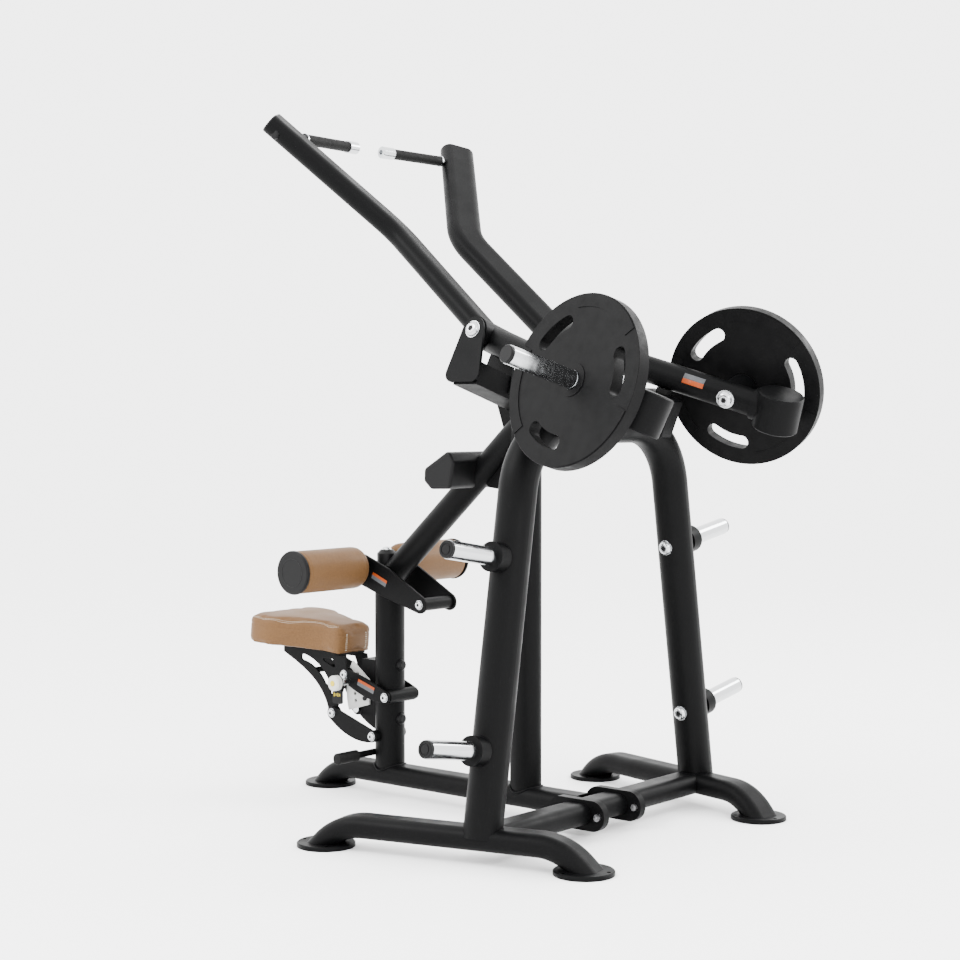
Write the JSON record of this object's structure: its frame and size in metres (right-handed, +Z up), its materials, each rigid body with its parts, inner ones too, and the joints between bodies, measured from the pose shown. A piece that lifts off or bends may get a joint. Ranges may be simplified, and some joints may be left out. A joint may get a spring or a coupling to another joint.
{
  "type": "plate-loaded lat pulldown machine",
  "caption": "Plate-loaded lever lat pulldown machine with independent arms, loading horns, thigh rollers and an adjustable seat.",
  "frame": {"origin": "on the floor, on the mid-plane, at the middle of the overall length", "axes": "+Z up, +Y from the seat to the rear of the stand, +X the user's right"},
  "size_m": [1.451, 1.7223, 2.0211],
  "materials": {
    "powder_black": "fine textured powder coat",
    "plate_iron": "matt black coated iron",
    "chrome": "polished chrome",
    "steel": "bright steel",
    "bronze": "sintered bronze",
    "rubber_black": "matt rubber",
    "leather_tan": "tan upholstery with pale stitching",
    "plastic_black": "moulded black plastic",
    "index_white": "white coated plate",
    "knob_white": "white plastic"
  },
  "bodies": {
    "frame": {"arm_stop_blocks": "powder_black", "arm_stop_bumpers": "rubber_black", "bracket_bolts": "plastic_black", "centre_base_tube": "powder_black", "cross_tubes": "powder_black", "diagonal_tube": "powder_black", "flange_bolts": "steel", "foot_discs": "powder_black", "foot_peg": "powder_black", "foot_peg_grip": "rubber_black", "frame_bolts": "chrome", "front_post": "powder_black", "head_beam": "powder_black", "index_plate": "index_white", "leg_left": "powder_black", "leg_right": "powder_black", "pivot_plates": "powder_black", "pivot_shafts": "steel", "pod": "plastic_black", "roller_shaft": "steel", "seat_bracket": "powder_black", "side_base_tube_left": "powder_black", "side_base_tube_right": "powder_black", "spine_and_gussets": "powder_black", "storage_caps": "plastic_black", "storage_collars": "powder_black", "storage_horns": "chrome", "thigh_bracket": "powder_black", "thigh_cap": "plastic_black", "upright_post": "powder_black"},
    "arm_right": {"arm_hub_right": "powder_black", "arm_bushes_right": "bronze", "arm_tube_right": "powder_black", "rear_lever_right": "powder_black", "arm_caps_right": "plastic_black", "loading_horn_right": "chrome", "handle_grip_right": "rubber_black", "arm_chrome_right": "chrome"},
    "plate_right": {"weight_plate_right": "plate_iron"},
    "roller_right": {"roller_core_right": "plastic_black", "roller_pad_right": "leather_tan"},
    "arm_left": {"arm_hub_left": "powder_black", "arm_bushes_left": "bronze", "arm_tube_left": "powder_black", "rear_lever_left": "powder_black", "arm_caps_left": "plastic_black", "loading_horn_left": "chrome", "handle_grip_left": "rubber_black", "arm_chrome_left": "chrome"},
    "plate_left": {"weight_plate_left": "plate_iron"},
    "roller_left": {"roller_core_left": "plastic_black", "roller_pad_left": "leather_tan"},
    "upper_links": {"seat_upper_links": "powder_black", "upper_link_pins": "chrome"},
    "lower_links": {"seat_lower_links": "powder_black", "lower_link_pins": "chrome"},
    "seat": {"seat_carriage": "powder_black", "height_block": "plastic_black", "seat_cushion": "leather_tan"},
    "release": {"release_knob": "knob_white"}
  },
  "joints": [
    {"name": "arm_right_pivot", "type": "hinge", "parent": "frame", "child": "arm_right", "pos_m": [0.1653, 0.15759, 1.3678], "axis": [0.96, 0, 0.28], "range_deg": [0, 52]},
    {"name": "arm_left_pivot", "type": "hinge", "parent": "frame", "child": "arm_left", "pos_m": [-0.1653, 0.15759, 1.3678], "axis": [0.96, 0, -0.28], "range_deg": [0, 52]},
    {"name": "plate_right_slide", "type": "slide", "parent": "arm_right", "child": "plate_right", "axis": [0.9515, -0.1588, 0.2637], "range_m": [0, 0.2]},
    {"name": "plate_left_slide", "type": "slide", "parent": "arm_left", "child": "plate_left", "axis": [-0.9515, -0.1588, 0.2637], "range_m": [0, 0.2]},
    {"name": "roller_right_spin", "type": "hinge", "parent": "frame", "child": "roller_right", "pos_m": [0, -0.42541, 0.6955], "axis": [1, 0, 0], "continuous": true},
    {"name": "roller_left_spin", "type": "hinge", "parent": "frame", "child": "roller_left", "pos_m": [0, -0.42541, 0.6955], "axis": [1, 0, 0], "continuous": true},
    {"name": "seat_height", "type": "hinge", "parent": "frame", "child": "upper_links", "pos_m": [0, -0.33241, 0.306], "axis": [1, 0, 0], "range_deg": [-8, 24]},
    {"name": "lower_link_pivot", "type": "hinge", "parent": "frame", "child": "lower_links", "pos_m": [0, -0.38541, 0.183], "axis": [1, 0, 0], "range_deg": [-8, 24]},
    {"name": "seat_level", "type": "hinge", "parent": "upper_links", "child": "seat", "pos_m": [0, -0.50041, 0.361], "axis": [1, 0, 0], "range_deg": [-24, 8]},
    {"name": "release_pull", "type": "slide", "parent": "upper_links", "child": "release", "axis": [1, 0, 0], "range_m": [-0.01, 0]}
  ],
  "couplings": [
    {"joint": "lower_link_pivot", "follows": "seat_height", "ratio": 1},
    {"joint": "seat_level", "follows": "seat_height", "ratio": -1}
  ]
}
